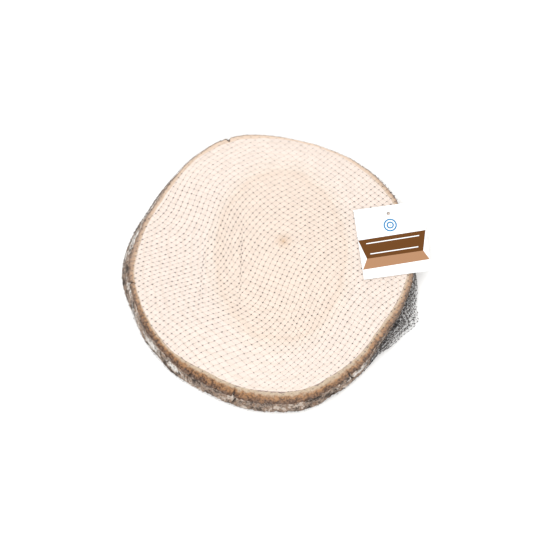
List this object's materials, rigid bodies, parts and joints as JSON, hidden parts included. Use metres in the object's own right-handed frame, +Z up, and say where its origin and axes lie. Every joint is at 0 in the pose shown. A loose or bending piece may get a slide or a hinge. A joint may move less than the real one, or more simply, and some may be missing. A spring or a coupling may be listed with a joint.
{
  "type": "wood slice",
  "caption": "Round sawn slice of a willow log with its bark on, lying flat in a close-fitting net bag with a card hang tag over its rim.",
  "frame": {"origin": "under the middle of the slice, on the net's underside, which lies on the table", "axes": "+Z up through the thickness, towards the better sawn face; +X towards the hang tag; +Y across the slice, away from the bark's thickest side"},
  "size_m": [0.2915, 0.271, 0.0301],
  "materials": {
    "willow_wood": "raw sawn end grain, creamy white, with grey-brown bark round the edge",
    "net_plastic": "fine extruded diamond net in near-black polyethylene",
    "clip_metal": "crimped aluminium strip, satin",
    "tag_card": "white coated card printed with plain brown and tan bands"
  },
  "bodies": {
    "root": {"wood_slice": "willow_wood", "net_bag": "net_plastic", "neck_clip": "clip_metal", "hang_tag": "tag_card"}
  },
  "joints": []
}
